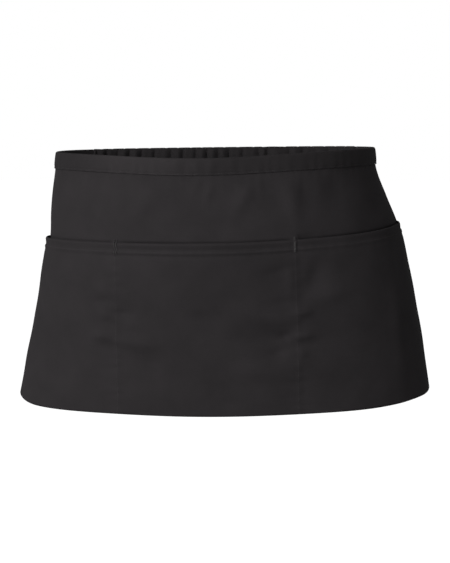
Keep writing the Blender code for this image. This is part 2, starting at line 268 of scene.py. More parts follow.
def form_at(across, down):
    """Places and outward directions of the worn form, for lines across and a table of depths."""
    inside = np.clip(down, 0, APRON_DEPTH)
    lower, upper = np.clip(inside + NUDGE, 0, APRON_DEPTH), np.clip(inside - NUDGE, 0, APRON_DEPTH)
    fine, middle = threads(across)
    places = read_threads(fine, middle, inside)
    downward = read_threads(fine, middle, lower) - read_threads(fine, middle, upper)
    right, left = threads(across + NUDGE), threads(across - NUDGE)
    rightward = read_threads(*right, inside) - read_threads(*left, inside)
    outward = np.cross(downward, rightward)
    outward /= np.linalg.norm(outward, axis=2, keepdims=True)
    return places, outward


def spaced(stops, pitch):
    """Lines that meet every stop, spread evenly between stops at about the pitch."""
    lines = [stops[0]]
    for start, end in zip(stops, stops[1:]):
        count = max(1, round(abs(end - start) / pitch))
        lines.extend(start + (end - start) * k / count for k in range(1, count + 1))
    return np.array(lines)


def slanted(rows, across):
    """Depths of level rows that lean and lift with the pocket mouth, but not at waist and hem."""
    weight = np.interp(rows, (BAND_DEPTH, POCKET_DROP, APRON_DEPTH - BOTTOM_HEM), (0.0, 1.0, 0.0))
    lift = MOUTH_LIFT * np.exp(-(((across - LIFT_PLACE) / LIFT_WIDTH) ** 2))
    return rows[:, None] - weight[:, None] * (MOUTH_SLANT * across / HALF_WIDTH + lift)[None, :]


def below_mouth(across, down):
    """How far below the pocket mouth each point lies."""
    return down - slanted(np.array([POCKET_DROP]), across)


def relief(folds, across, down):
    """How far the folds raise the cloth at each point."""
    total = np.zeros(down.shape)
    for fold in folds:
        turn = math.radians(fold.turn)
        x = (across[None, :] - fold.across * PANEL_WIDTH) / APRON_DEPTH
        y = (fold.down * APRON_DEPTH - down) / APRON_DEPTH
        along = x * math.cos(turn) + y * math.sin(turn)
        beside = y * math.cos(turn) - x * math.sin(turn)
        total += fold.rise * WALL * np.exp(-((along / fold.long) ** 2) - (beside / fold.wide) ** 2)
    return total


# Slow unevenness of the cloth, as a sum of waves about as long as its size
Ripple = namedtuple("Ripple", "size height seed")
RIPPLE_WAVES = 14
RIPPLE_SIZES = (0.7, 1.8)


def ripple(across, down, kind):
    """How far a ripple raises the cloth at each point."""
    dice = np.random.default_rng(kind.seed)
    total = np.zeros(down.shape)
    for _ in range(RIPPLE_WAVES):
        turn = dice.uniform(0, math.pi)
        pace = 2 * math.pi / (kind.size * dice.uniform(*RIPPLE_SIZES))
        start = dice.uniform(0, 2 * math.pi)
        total += np.sin((across[None, :] * math.cos(turn) + down * math.sin(turn)) * pace + start)
    return total * kind.height / math.sqrt(RIPPLE_WAVES)


def panel_relief(across, down):
    """How far folds and puckers raise the panel. They fade out under the waistband."""
    fade = np.clip((down - BAND_DEPTH) / BAND_DEPTH, 0, 1)
    return relief(PANEL_FOLDS + PUCKERS, across, down) * fade


def pocket_gape(across, down):
    """Room between the panel and the pocket cloth, nothing along the seams and the bottom."""
    place = np.clip((across + HALF_WIDTH) / POCKET_WIDTH, 0, len(POCKET_GAPES))
    which = np.minimum(place.astype(int), len(POCKET_GAPES) - 1)
    bulge = np.sin(math.pi * (place - which)) ** 2
    open_width = np.array(POCKET_GAPES)[which] * WALL
    depth = (down - POCKET_DROP) / (APRON_DEPTH - BOTTOM_HEM - POCKET_DROP)
    closing = (1 - np.clip(depth, 0, 1)) ** GAPE_CLOSING
    return open_width * bulge * closing


def lay(across, down, out):
    """Points that stand out from the worn form and its folds by a table of distances."""
    places, outward = form_at(across, down)
    return places + outward * (out + panel_relief(across, down))[..., None], outward


# Cloth, thread and their materials

# Where the flat maps start, a place that keeps them positive
FLAT_START = 0.4

# A wave texture of scale 1 repeats after this length
WAVE_LENGTH = 0.314

# The wales' slant in degrees, the yarns' pitch as a share of theirs, and the heights of yarns and
# fuzz as shares of theirs
WALE_SLANT = 58
YARN_SHARE = 0.55
YARN_HEIGHT = 0.35
FUZZ_HEIGHT = 0.5
SHEEN_TINT = (0.60, 0.57, 0.58, 1.0)

# From what range of clouds, weave and twist to what range of shades
CLOUD_SHADE = (0.3, 0.7, 0.88, 1.10)
WEAVE_SHADE = (0.0, 1.35, 0.80, 1.12)
TWIST_SHADE = (0.0, 1.0, 0.75, 1.15)

# A painted highlight: a paler place of a cloth along its flat length, standing in for light that
# falls on it there
PaintedHighlight = namedtuple("PaintedHighlight", "centre reach gain")


def new_material(name, values):
    """A node material whose shader has the given values."""
    material = bpy.data.materials.new(name)
    material.use_nodes = True
    set_inputs(shader_of(material), values)
    return material


def node_of(material, kind, inputs=None, **settings):
    """A new node of the material, with values for its inputs and its own settings."""
    made = material.node_tree.nodes.new(kind)
    for key, value in settings.items():
        setattr(made, key, value)
    set_inputs(made, inputs or {})
    return made


def set_inputs(node, values):
    for socket, value in values.items():
        node.inputs[socket].default_value = value


def shader_of(material):
    return material.node_tree.nodes["Principled BSDF"]


def link(material, source, target):
    material.node_tree.links.new(source, target)


def range_node(material, from_low, from_high, to_low, to_high, **settings):
    """A node that carries one range of values over to another."""
    ends = {"From Min": from_low, "From Max": from_high, "To Min": to_low, "To Max": to_high}
    return node_of(material, "ShaderNodeMapRange", ends, **settings)


def wave_node(material, direction, inputs):
    """A node for even stripes that rise and fall as a sine."""
    return node_of(
        material, "ShaderNodeTexWave", inputs,
        wave_type="BANDS", bands_direction=direction, wave_profile="SIN",
    )


def dye(material, colour, shade):
    """Gives the material its colour, made lighter and darker by a shade."""
    dyed = node_of(material, "ShaderNodeMix", data_type="RGBA", blend_type="MULTIPLY")
    dyed.inputs["Factor"].default_value = 1.0
    dyed.inputs["A"].default_value = colour
    link(material, shade, dyed.inputs["B"])
    link(material, dyed.outputs["Result"], shader_of(material).inputs["Base Color"])


def raise_surface(material, height, strength, distance):
    """Gives the material a bump from a height."""
    bump = node_of(material, "ShaderNodeBump", {"Strength": strength, "Distance": distance})
    link(material, height, bump.inputs["Height"])
    link(material, bump.outputs["Normal"], shader_of(material).inputs["Normal"])


def fabric(name, colour, wale, roughness, sheen, painted_highlight=None):
    """Matt twill: slanted wales, crossing yarns, slow changes of shade and, at a place, a painted
    highlight.
    """
    material = new_material(name, {
        "Roughness": roughness, "Specular IOR Level": 0.18,
        "Sheen Weight": sheen, "Sheen Roughness": 0.45, "Sheen Tint": SHEEN_TINT,
    })

    flat = node_of(material, "ShaderNodeUVMap", uv_map="flat").outputs["UV"]
    slant = (0.0, 0.0, math.radians(WALE_SLANT))
    turned = node_of(material, "ShaderNodeMapping", {"Rotation": slant})
    link(material, flat, turned.inputs["Vector"])
    wales = wave_node(material, "X", {
        "Scale": WAVE_LENGTH / wale, "Distortion": 0.6, "Detail": 1.0, "Detail Scale": 0.4,
    })
    link(material, turned.outputs["Vector"], wales.inputs["Vector"])
    yarns = wave_node(material, "X", {
        "Scale": WAVE_LENGTH / (wale * YARN_SHARE), "Distortion": 0.8,
    })
    link(material, flat, yarns.inputs["Vector"])
    weave = node_of(material, "ShaderNodeMath", {1: YARN_HEIGHT}, operation="MULTIPLY_ADD")
    link(material, yarns.outputs["Fac"], weave.inputs[0])
    link(material, wales.outputs["Fac"], weave.inputs[2])

    fuzz = node_of(material, "ShaderNodeTexNoise", {"Scale": 1.1 / wale, "Detail": 3.0})
    link(material, flat, fuzz.inputs["Vector"])
    height = node_of(material, "ShaderNodeMath", {1: FUZZ_HEIGHT}, operation="MULTIPLY_ADD")
    link(material, fuzz.outputs["Fac"], height.inputs[0])
    link(material, weave.outputs["Value"], height.inputs[2])
    raise_surface(material, height.outputs["Value"], strength=0.35, distance=0.00008)

    blotches = {"Scale": 22.0, "Detail": 4.0, "Roughness": 0.6}
    cloud = node_of(material, "ShaderNodeTexNoise", blotches)
    link(material, flat, cloud.inputs["Vector"])
    shade = range_node(material, *CLOUD_SHADE)
    link(material, cloud.outputs["Fac"], shade.inputs["Value"])
    grain = range_node(material, *WEAVE_SHADE)
    link(material, weave.outputs["Value"], grain.inputs["Value"])
    both = node_of(material, "ShaderNodeMath", operation="MULTIPLY")
    link(material, shade.outputs["Result"], both.inputs[0])
    link(material, grain.outputs["Result"], both.inputs[1])

    # The shade, made paler over the painted highlight where one is given
    worn = both
    if painted_highlight:
        spread = node_of(material, "ShaderNodeSeparateXYZ")
        link(material, flat, spread.inputs["Vector"])
        centre = painted_highlight.centre + FLAT_START
        offset = node_of(material, "ShaderNodeMath", {1: centre}, operation="SUBTRACT")
        link(material, spread.outputs["X"], offset.inputs[0])
        distance = node_of(material, "ShaderNodeMath", operation="ABSOLUTE")
        link(material, offset.outputs["Value"], distance.inputs[0])
        patch = range_node(
            material, painted_highlight.reach, 0.0, 1.0, painted_highlight.gain, interpolation_type="SMOOTHERSTEP"
        )
        link(material, distance.outputs["Value"], patch.inputs["Value"])
        worn = node_of(material, "ShaderNodeMath", operation="MULTIPLY")
        link(material, both.outputs["Value"], worn.inputs[0])
        link(material, patch.outputs["Result"], worn.inputs[1])
    dye(material, colour, worn.outputs["Value"])
    return material


def sewing_thread(name, colour):
    """Two-ply polyester thread: a slanted twist and a soft shine."""
    material = new_material(name, {"Roughness": 0.48, "Specular IOR Level": 0.35})
    flat = node_of(material, "ShaderNodeUVMap", uv_map="flat")
    twist = wave_node(material, "DIAGONAL", {"Scale": 2.0})
    link(material, flat.outputs["UV"], twist.inputs["Vector"])
    raise_surface(material, twist.outputs["Fac"], strength=0.5, distance=0.00005)
    shade = range_node(material, *TWIST_SHADE)
    link(material, twist.outputs["Fac"], shade.inputs["Value"])
    dye(material, colour, shade.outputs["Result"])
    return material


def finish_piece(piece, material, nodes=()):
    """Gives a piece its one material, and says what it rides on and which solids it stands for."""
    piece.data.materials.clear()
    piece.data.materials.append(material)
    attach(piece, "root")
    if nodes:
        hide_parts(*nodes)
    return piece


def write_flat(mesh, corners):
    """Writes the flat place of each corner as the mesh's UV map, in metres."""
    layer = mesh.uv_layers.active or mesh.uv_layers.new()
    layer.name = "flat"
    order = np.zeros(len(mesh.loops), np.int32)
    mesh.loops.foreach_get("vertex_index", order)
    layer.data.foreach_set("uv", corners[order].astype(np.float32).ravel())


def cloth_piece(name, points, flat, thick, tube=False):
    """A sheet cut flat as a grid, laid on its points, sewn up if it is a tube, and thickened."""
    rows, columns = points.shape[:2]
    cut = flat.reshape(-1, 2).max(axis=0) - flat.reshape(-1, 2).min(axis=0)
    bpy.ops.object.select_all(action="DESELECT")
    bpy.ops.mesh.primitive_grid_add(
        x_subdivisions=columns - 1, y_subdivisions=rows - 1, size=1.0, scale=(*cut, 1.0)
    )
    piece = bpy.context.object
    piece.name = piece.data.name = name
    bpy.ops.object.transform_apply(location=True, rotation=True, scale=True)
    piece.data.vertices.foreach_set("co", points.astype(np.float32).ravel())
    write_flat(piece.data, flat.reshape(-1, 2) + FLAT_START)
    if tube:
        bpy.ops.object.mode_set(mode="EDIT")
        bpy.ops.mesh.select_all(action="SELECT")
        bpy.ops.mesh.remove_doubles(threshold=SAME_PLACE)
        bpy.ops.object.mode_set(mode="OBJECT")
    wall = piece.modifiers.new("wall", "SOLIDIFY")
    wall.thickness = thick
    wall.offset = 0.0
    bpy.ops.object.modifier_apply(modifier="wall")
    bpy.ops.object.shade_smooth_by_angle(angle=math.radians(SMOOTH_ANGLE))
    return piece


def turn_round(radius, steps):
    """Offsets along and out of a fold of half a turn, without its two ends."""
    angles = [math.pi * k / steps for k in range(1, steps)]
    return [(radius * math.sin(a), radius * math.cos(a)) for a in angles]


def flat_table(across, down):
    """The flat places where lines across and lines down meet."""
    return np.stack(np.broadcast_arrays(across[None, :], down[:, None]), axis=2)


def path_length(down, out):
    """How far along a folded path each of its points lies."""
    return np.concatenate([[0.0], np.cumsum(np.hypot(np.diff(down), np.diff(out)))])


# The small even waves that a row of stitches draws into the cloth beside it
Draw = namedtuple("Draw", "pitch reach height seed")
DRIFT_PITCHES = (2.3, 3.7, 6.1)
DRIFT_SIZES = (0.5, 1.0)
DRIFT_STARTS = (0, 6.28)


def drawn(along, away, seam):
    """How far a seam's waves raise the cloth at places along it and away from it."""
    dice = np.random.default_rng(seam.seed)
    drift = sum(
        dice.uniform(*DRIFT_SIZES)
        * np.sin(2 * math.pi * along / (seam.pitch * k) + dice.uniform(*DRIFT_STARTS))
        for k in DRIFT_PITCHES
    )
    wave = np.cos(2 * math.pi * along / seam.pitch + drift)
    return seam.height * wave * np.exp(-np.abs(away) / seam.reach)


def bell(at, place, spread):
    """1 at a place, falling off smoothly on both sides of it."""
    return np.exp(-(((at - place) / spread) ** 2))


# Skirt panel

HEM_LEAF = CLOTH + 0.0001
BAND_STITCH = BAND_DEPTH - 0.0017
SIDE_STITCH = HALF_WIDTH - SIDE_HEM + 0.0018
MOUTH_STITCH = POCKET_DROP + 0.0094


def skirt_lines():
    """The skirt's lines across, their stand-off and flat place, with both side hems turned in."""
    radius = HEM_LEAF / 2
    edge = HALF_WIDTH - radius
    front = spaced([-edge, -SIDE_STITCH, *DIVIDERS, SIDE_STITCH, edge], FINE)
    bend = turn_round(radius, EDGE_STEPS)
    leaf = spaced([edge, HALF_WIDTH - SIDE_HEM], FINE)
    side = np.concatenate([[edge + along for along, _ in bend], leaf])
    side_out = np.concatenate([[out - radius for _, out in bend], np.full(len(leaf), -HEM_LEAF)])
    across = np.concatenate([-side[::-1], front, side])
    out = np.concatenate([side_out[::-1], np.zeros(len(front)), side_out])
    flat = path_length(across, out)
    return across, out, flat - flat[-1] / 2


SKIRT_RIPPLE = Ripple(0.045, 0.00022, 3)
BAND_ON_SKIRT = Draw(0.011, 0.010, 0.00022, 5)
SIDE_ON_SKIRT = Draw(0.012, 0.005, 0.00018, 7)

# How far the panel draws back behind the pockets' mouths, over what height, how near the seams hold
# it, and how much of this it does at places from left to right
MOUTH_RECESS = 0.0018
RECESS_REACH = 0.0017
RECESS_HELD = 0.006
BESIDE_TACK = 0.02
RECESS_PLACES = (
    -HALF_WIDTH, DIVIDERS[0] - BESIDE_TACK, DIVIDERS[0] + BESIDE_TACK, 0, DIVIDERS[1], HALF_WIDTH,
)
RECESS_SHARES = (0.5, 0.8, 1.15, 0.85, 1.0, 0.8)

# The hollow in the panel right of the right bar tack, above the mouth
HOLLOW_DEPTH = 0.0022
HOLLOW_START = 0.003
HOLLOW_PLACE = 0.012
HOLLOW_WIDTH = 0.016
HOLLOW_ABOVE = 0.002
HOLLOW_HEIGHT = 0.0045

# The heights above and below the mouth between which the skirt's lines are close together
ABOVE_MOUTH = 0.007
BELOW_MOUTH = 0.005
MOUTH_FINE = 0.0011


def skirt_surface(across, down):
    """How far the skirt stands out of its smooth form."""
    rise = ripple(across, down, SKIRT_RIPPLE)
    rise += drawn(across[None, :], down - BAND_STITCH, BAND_ON_SKIRT)
    beside = np.minimum(np.abs(across - SIDE_STITCH), np.abs(across + SIDE_STITCH))
    rise += drawn(down, beside[None, :], SIDE_ON_SKIRT)
    below = below_mouth(across, down)
    from_seam = np.min([np.abs(across - place) for place in (-HALF_WIDTH, *DIVIDERS)], axis=0)
    held = 1 - np.exp(-((from_seam / RECESS_HELD) ** 4))
    share = np.interp(across, RECESS_PLACES, RECESS_SHARES)
    rise -= MOUTH_RECESS * held * share * bell(below, 0, RECESS_REACH)
    right = across - DIVIDERS[1]
    hollow = np.where(right > HOLLOW_START, bell(right, HOLLOW_PLACE, HOLLOW_WIDTH), 0)
    return rise - HOLLOW_DEPTH * hollow * bell(below, -HOLLOW_ABOVE, HOLLOW_HEIGHT)


def skirt():
    """The front cloth, from under the waistband to its lower edge, both sides turned in."""
    across, out, flat_across = skirt_lines()
    upper, lower = POCKET_DROP - ABOVE_MOUTH, POCKET_DROP + BELOW_MOUTH
    rows = spaced([BAND_TURN, BAND_DEPTH, upper], FINE)
    rows = np.concatenate([rows, spaced([upper, lower], MOUTH_FINE)[1:]])
    rows = np.concatenate([rows, spaced([lower, APRON_DEPTH - BOTTOM_TURN], FINE)[1:]])
    down = slanted(rows, np.clip(across, -HALF_WIDTH, HALF_WIDTH))
    points = lay(across, down, out[None, :] + skirt_surface(across, down))[0]
    piece = cloth_piece("skirt_cloth", points, flat_table(flat_across, rows), CLOTH)
    return finish_piece(piece, TWILL, ["skirt_panel"])


# Pocket panel

# The mouth hem's face: how far each height below the mouth stands out, from its rolled edge over
# its stitched groove to the ridge of the turned-in edge
HEM_REACH = 0.0180
HemRow = namedtuple("HemRow", "below out")
HEM_FACE = (
    HemRow(0.0000, 0.00000),
    HemRow(0.0012, 0.00070),
    HemRow(0.0034, 0.00028),
    HemRow(0.0084, -0.00050),
    HemRow(0.0103, 0.00065),
    HemRow(0.0124, -0.00018),
    HemRow(HEM_REACH, 0.00000),
)
FACE_FINE = 0.0012
MOUTH_ROLL = 0.00055

# How marked each pocket's mouth hem is, from left to right, and how far from a divider it changes
HEM_MARKS = (0.70, 1.4, 0.7)
HEM_BLEND = 0.03

POCKET_RIPPLE = Ripple(0.050, 0.00025, 11)
MOUTH_SEAM = Draw(0.012, 0.006, 0.00016, 13)
DIVIDER_SEAMS = (Draw(0.013, 0.009, 0.00035, 17), Draw(0.013, 0.009, 0.00035, 18))

# The ridges under the left and the right divider's stitches, steep at their left and easy at their
# right, and the shallow grooves to the right of them
SEAM_RIDGES = (0.0005, 0.0003)
SEAM_STEEP = 0.0011
SEAM_EASY = 0.0060
SEAM_DEPTHS = (0.0001, 0.0002)
SEAM_GROOVE = 0.0060
SEAM_SPREAD = 0.0030

# The small pits at both sides of each bar tack
TACK_PIT = 0.0005
PIT_PLACE = 0.0027
PIT_SPREAD = 0.0010
PIT_FADE = 0.001

# The lines across beside each divider: the first one, then close ones
DIVIDER_REACH = 0.005
DIVIDER_FINE = 0.0008
DIVIDER_STEPS = range(-3, 7)

BEND_STEPS = 6


def hem_face(below):
    heights, stands = np.array(HEM_FACE).T
    return smooth_through(below, heights, stands)


def pocket_lines():
    """Lines across the pockets, close together beside the stitched dividers."""
    stops = [-HALF_WIDTH]
    for divider in DIVIDERS:
        stops += [divider - DIVIDER_REACH]
        stops += [divider + DIVIDER_FINE * step for step in DIVIDER_STEPS]
    return spaced(stops + [HALF_WIDTH], FINE)


def pocket_surface(across, down):
    """How far the pocket's face stands out of the panel's: gapes, seams and unevenness."""
    rise = pocket_gape(across, down)
    below = below_mouth(across, down)
    left, right = DIVIDERS
    middle_mark = HEM_MARKS[1]
    mark = np.interp(
        across, (left - HEM_BLEND, left, right, right + HEM_BLEND),
        (HEM_MARKS[0], middle_mark, middle_mark, HEM_MARKS[2]),
    )
    rise = rise + hem_face(below) * mark
    rise += ripple(across, down, POCKET_RIPPLE)
    rise += drawn(across[None, :], below - (MOUTH_STITCH - POCKET_DROP), MOUTH_SEAM)
    for divider, seam, ridge, depth in zip(DIVIDERS, DIVIDER_SEAMS, SEAM_RIDGES, SEAM_DEPTHS):
        beside = across[None, :] - divider
        rise += ridge * bell(beside, 0, np.where(beside < 0, SEAM_STEEP, SEAM_EASY))
        rise -= depth * bell(beside, SEAM_GROOVE, SEAM_SPREAD)
        rise += drawn(down, beside, seam)
        pit = bell(np.abs(beside), PIT_PLACE, PIT_SPREAD)
        rise -= TACK_PIT * pit * np.clip((TACK_LENGTH - TACK_ABOVE - below) / PIT_FADE, 0, 1)
    return rise


def pocket():
    """The cloth of all pockets, from its mouth hem's inner edge round to its turned-up hem."""
    across = pocket_lines()
    edge = APRON_DEPTH - BOTTOM_TURN
    mouth = POCKET_DROP + MOUTH_ROLL
    inner = spaced([POCKET_DROP + POCKET_HEM, mouth], FINE)
    roll = turn_round(MOUTH_ROLL, EDGE_STEPS)
    face = spaced([mouth, POCKET_DROP + HEM_REACH], FACE_FINE)
    face = np.concatenate([face, spaced([POCKET_DROP + HEM_REACH, edge], FINE)[1:]])
    bend = turn_round(POCKET_SEAT, BEND_STEPS)
    leaf = spaced([edge, APRON_DEPTH - BOTTOM_HEM], FINE)
    rows = np.concatenate([
        inner, [mouth - along for along, _ in roll], face,
        [edge + along for along, _ in bend], leaf,
    ])
    down = slanted(rows, across)
    squeeze = np.clip((inner - POCKET_DROP) / (MOUTH_STITCH - POCKET_DROP), 0, 1)
    behind = 2 * MOUTH_ROLL * (1 - squeeze**2) + HEM_LEAF * squeeze**2
    rolled = [MOUTH_ROLL - lift for _, lift in roll[::-1]]
    set_back = np.concatenate([behind, rolled, np.zeros(len(face))])
    turned_up = [lift for _, lift in bend] + [-POCKET_SEAT] * len(leaf)
    out = POCKET_SEAT + pocket_surface(across, down)
    out[: len(set_back)] -= set_back[:, None]
    out[len(set_back):] = np.array(turned_up)[:, None]
    points = lay(across, down, out)[0]
    along = path_length(rows, out[:, len(across) // 2])
    piece = cloth_piece("pocket_cloth", points, flat_table(across, along), CLOTH)
    return finish_piece(piece, TWILL, ["pocket_panel"])


# Waistband

TURN_IN = 0.005
LEAF_GAP = 0.0001
BAND_STEPS = 7
BAND_ACROSS = 0.0016
TURN_FINE = 0.0015
BAND_DOWN = 0.0012

# How far each face crowns between its fold and its stitches, and the groove of the stitches
CROWN = 0.00045
CROWN_POWER = 0.8
STITCH_GROOVE = 0.00030
GROOVE_SPREAD = 0.0011
BAND_RIPPLE = Ripple(0.030, 0.00015, 23)
BAND_SEAM = Draw(0.0125, 0.011, 0.00024, 29)

# Soft upright waves across the band, near its middle
BAND_PULLS = (-0.026, -0.005, 0.014, 0.034)
PULL_SPREAD = 0.0055
PULL_RISE = 0.0009


def band_surface(across, down):
    """How far a face of the band stands out of its smooth form."""
    share = np.clip(down / BAND_STITCH, 0, 1)
    crown = CROWN * np.sin(math.pi * share) ** CROWN_POWER
    groove = STITCH_GROOVE * bell(down, BAND_STITCH, GROOVE_SPREAD)
    rise = crown - groove + ripple(across, down, BAND_RIPPLE)
    wave = drawn(across[None, :], down - BAND_STITCH, BAND_SEAM)
    pulls = PULL_RISE * sum(bell(across, place, PULL_SPREAD) for place in BAND_PULLS)
    return rise + wave + pulls * np.sin(math.pi * share)


# A line along the band: its depth, its stand-off, and 1 on the front face, -1 on the back face and
# 0 where it is turned in
BandLine = namedtuple("BandLine", "down out side")


def band_profile(seat, face):
    """The band's lines, from the front's turned-in edge over the fold to the back's."""
    radius = (face - seat) / 2
    middle = (seat + face) / 2
    turned = spaced([BAND_DEPTH - TURN_IN, BAND_DEPTH - radius], TURN_FINE)
    hem = turn_round(radius, EDGE_STEPS)
    leaf = spaced([BAND_DEPTH - radius, BAND_STITCH, BAND_TURN], BAND_DOWN)
    lines = [BandLine(d, seat, 0) for d in turned]
    lines += [BandLine(BAND_DEPTH - radius + along, middle - out, 0) for along, out in hem]
    lines += [BandLine(d, face, 1) for d in leaf]
    lines += [BandLine(BAND_TURN - along, out, 1) for along, out in turn_round(face, BAND_STEPS)]
    lines += [BandLine(d, -face, -1) for d in leaf[::-1]]
    lines += [BandLine(BAND_DEPTH - radius + along, -middle - out, 0) for along, out in hem]
    lines += [BandLine(d, -seat, 0) for d in turned[::-1]]
    return lines


def waistband():
    """The binding folded over the panel's top edge, with its own edges turned in."""
    seat = WALL / 2 + BINDING / 2 + LEAF_GAP
    face = BAND_TURN - BINDING / 2
    across = spaced([-BAND_END, -HALF_WIDTH, HALF_WIDTH, BAND_END], BAND_ACROSS)
    depth, stand, side = np.array(band_profile(seat, face)).T
    down = np.repeat(depth[:, None], len(across), axis=1)
    out = np.repeat(stand[:, None], len(across), axis=1)
    on_face = side * (np.abs(stand) > face - NEARLY)
    out += band_surface(across, down) * on_face[:, None]
    points = lay(across, down, out)[0]
    along = path_length(depth, stand)
    piece = cloth_piece("waistband_cloth", points, flat_table(across, along), BINDING)
    return finish_piece(piece, BAND_TWILL, ["waistband"])


# Gathered back band

# Where the casing's gathers are pinched, from the back's centre towards the right, as seen from the
# front, in shares of the gathered length's half, and the pinches past both of its ends
PINCHES = (
    -0.97, -0.89, -0.80, -0.713, -0.626, -0.529, -0.411, -0.325, -0.232, -0.153, -0.073, 0.005,
    0.107, 0.223, 0.286, 0.451, 0.549, 0.648, 0.751, 0.84, 0.93,
)
PINCH_ENDS = (-1.04, 1.02)
CASING_RISE = 0.0044
ELASTIC = 0.0013
ELASTIC_GAP = 0.0002
FLAT_END_GAP = 0.0003

# The ridges: the range of their heights, how full they are, and a faint crease on each
RIDGE_HEIGHTS = (0.5, 1.15)
RIDGE_POWER = 0.62
CREASE = 0.10
CREASE_TURN = 9

# The casing's lines, how fast the gathers start at its ends, how the outside's ridges are shifted
# from the inside's, how ridges sway on their way down, and how full the casing is
CASING_ACROSS = 0.0009
CASING_DOWN = 0.07
GATHER_START = 110
OUTSIDE_SHIFT = 0.04
SWAY = 0.004
SWAY_TURN = 3.0
CASING_POWER = 0.45
CASING_FULL = 1.4
RUFFLE = 0.0009
INSIDE_SEED = 41
OUTSIDE_SEED = 43


def gathered(place, seed):
    """From 0 in a pinch to 1 on the ridge between two pinches, each ridge with its own height."""
    pinches = np.array((PINCH_ENDS[0],) + PINCHES + (PINCH_ENDS[1],))
    heights = np.random.default_rng(seed).uniform(*RIDGE_HEIGHTS, len(pinches))
    here = np.clip(np.searchsorted(pinches, place, side="right") - 1, 0, len(pinches) - 2)
    share = (place - pinches[here]) / (pinches[here + 1] - pinches[here])
    share = np.clip(share, 0, 1)
    crease = CREASE * np.sin(3 * math.pi * share + heights[here] * CREASE_TURN)
    crease = crease * share * (1 - share) * 4
    return heights[here] * np.sin(math.pi * share) ** RIDGE_POWER + crease


def back_band():
    """The gathered casing round the elastic, with flat ends inside the waistband's ends."""
    waist = section_at(0.0)
    right_half = half_length(waist, 1)
    loop = right_half + half_length(waist, -1)
    start = HALF_WIDTH + CLEARANCE
    run = spaced([start, BAND_END, loop - BAND_END, loop - start], CASING_ACROSS)
    across = np.where(run <= right_half, run, run - loop)
    place = (loop / 2 - run) / (loop / 2 - BAND_END)
    ease = np.clip((1 - np.abs(place)) * GATHER_START, 0, 1)
    top = BAND_TURN * (1 - ease)
    bottom = BAND_DEPTH - CLEARANCE * (1 - ease)
    shares = spaced([0.0, 1.0], CASING_DOWN)
    inside_ridge = gathered(place, INSIDE_SEED)
    outside_ridge = gathered(place + OUTSIDE_SHIFT, OUTSIDE_SEED)
    front = [(share, 1) for share in shares[1:-1]]
    behind = [(share, -1) for share in shares[-2:0:-1]]
    lines = [(0.0, 0), *front, (1.0, 0), *behind, (0.0, 0)]
    down = np.zeros((len(lines), len(run)))
    out = np.zeros(down.shape)
    for row, (share, side) in enumerate(lines):
        ridge = outside_ridge if side >= 0 else inside_ridge
        edge = (1 if share > 0.5 else -1) * abs(2 * share - 1) ** 3
        down[row] = top + (bottom - top) * share + RUFFLE * (ridge - 0.5) * ease * edge
        rounded = math.sin(math.pi * share) ** CASING_POWER
        shifted = np.interp(place + SWAY * math.sin(SWAY_TURN * share), place[::-1], ridge[::-1])
        puff = ELASTIC / 2 + ELASTIC_GAP + CASING_RISE * shifted * rounded
        puff = puff * ease + (WALL / 2 - FLAT_END_GAP) * (1 - ease)
        out[row] = side * puff * min(1.0, rounded * CASING_FULL)
    places, outward = form_at(across, down)
    points = places + outward * out[..., None]
    along = path_length(down.mean(axis=1), out.mean(axis=1))
    gathered_run = path_length(run, CASING_RISE * inside_ridge)
    flat = flat_table(gathered_run - FLAT_START, along)
    piece = cloth_piece("back_band_cloth", points, flat, BINDING, tube=True)
    return finish_piece(piece, SHADED_CASING_TWILL, ["back_band"])


# Stitches

# How far the flat map of the twist runs over half a stitch, how far apart the points of a row are,
# how far a row on the waistband lies above it, and how far rows end from the pocket's edges
TWISTS = 1.5
ROW_STEP = 0.002
ROW_LIFT = 0.00005
ROW_INSET = 0.003


def stitch_shape():
    """One stitch, modelled once: a stretched ball of thread of unit size along X."""
    bpy.ops.object.select_all(action="DESELECT")
    bpy.ops.mesh.primitive_uv_sphere_add(
        segments=6, ring_count=5, radius=1.0, rotation=(0.0, math.pi / 2, 0.0)
    )
    ball = bpy.context.object
    bpy.ops.object.transform_apply(location=True, rotation=True, scale=True)
    corners = np.array([v.co[:] for v in ball.data.vertices])
    faces = [tuple(face.vertices) for face in ball.data.polygons]
    bpy.data.objects.remove(ball)
    return corners, faces


def sewn_row(points, outward):
    """Starts, ends and outward directions of even stitches along a line of points."""
    run = np.concatenate([[0.0], np.cumsum(np.linalg.norm(np.diff(points, axis=0), axis=1))])
    starts = np.arange(STITCH_GAP, run[-1] - STITCH, STITCH + STITCH_GAP)

    def at(places, values):
        return np.stack([np.interp(places, run, values[:, axis]) for axis in range(3)], axis=1)

    return at(starts, points), at(starts + STITCH, points), at(starts + STITCH / 2, outward)


def stitches(name, rows, radius=THREAD / 2, lift=0.0):
    """All the stitches of some rows as one joined mesh."""
    shape, faces = STITCH_SHAPE
    starts, ends, outward = (np.concatenate([row[k] for row in rows]) for k in range(3))
    half = (ends - starts) / 2
    middle = (ends + starts) / 2
    outward = outward / np.linalg.norm(outward, axis=1, keepdims=True)
    side = np.cross(outward, half)
    side /= np.linalg.norm(side, axis=1, keepdims=True)
    points = (
        middle[:, None] + half[:, None] * shape[None, :, :1]
        + side[:, None] * shape[None, :, 1:2] * radius
        + outward[:, None] * (shape[None, :, 2:3] * radius + lift)
    )
    count = len(shape)
    firsts = range(0, len(middle) * count, count)
    all_faces = [tuple(index + first for index in face) for first in firsts for face in faces]
    mesh = bpy.data.meshes.new(name)
    mesh.from_pydata(points.reshape(-1, 3), [], all_faces)
    turn = np.arctan2(shape[:, 2], shape[:, 1]) / (2 * math.pi)
    twist = np.stack([shape[:, 0] * TWISTS + TWISTS, turn + 0.5], axis=1)
    write_flat(mesh, np.tile(twist, (len(middle), 1)))
    mesh.shade_smooth()
    piece = bpy.data.objects.new(name, mesh)
    bpy.context.scene.collection.objects.link(piece)
    return finish_piece(piece, SEWING)


